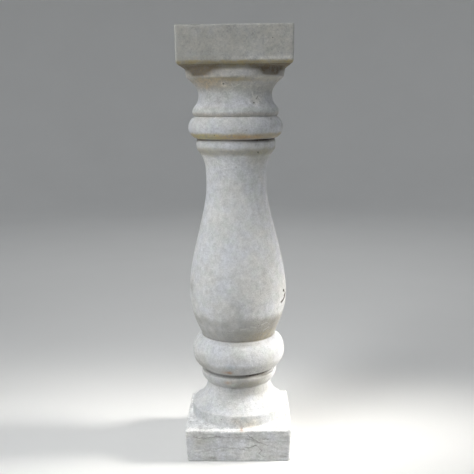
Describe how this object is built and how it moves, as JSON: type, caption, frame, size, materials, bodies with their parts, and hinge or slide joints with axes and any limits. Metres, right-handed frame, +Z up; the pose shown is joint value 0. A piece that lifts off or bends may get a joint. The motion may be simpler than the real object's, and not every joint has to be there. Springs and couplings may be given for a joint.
{
  "type": "stone baluster",
  "caption": "Turned stone baluster with a vase-shaped body between two torus mouldings, on a square plinth under a square abacus.",
  "frame": {"origin": "middle of the plinth's underside, on the plane it stands on", "axes": "+Z up along the shaft, the front face towards -Y, +X to the right seen from the front"},
  "size_m": [0.1564, 0.1564, 0.61],
  "materials": {
    "stone": "pale weathered cast stone, matt, with grey and ochre staining"
  },
  "bodies": {
    "root": {"baluster": "stone"}
  },
  "joints": []
}
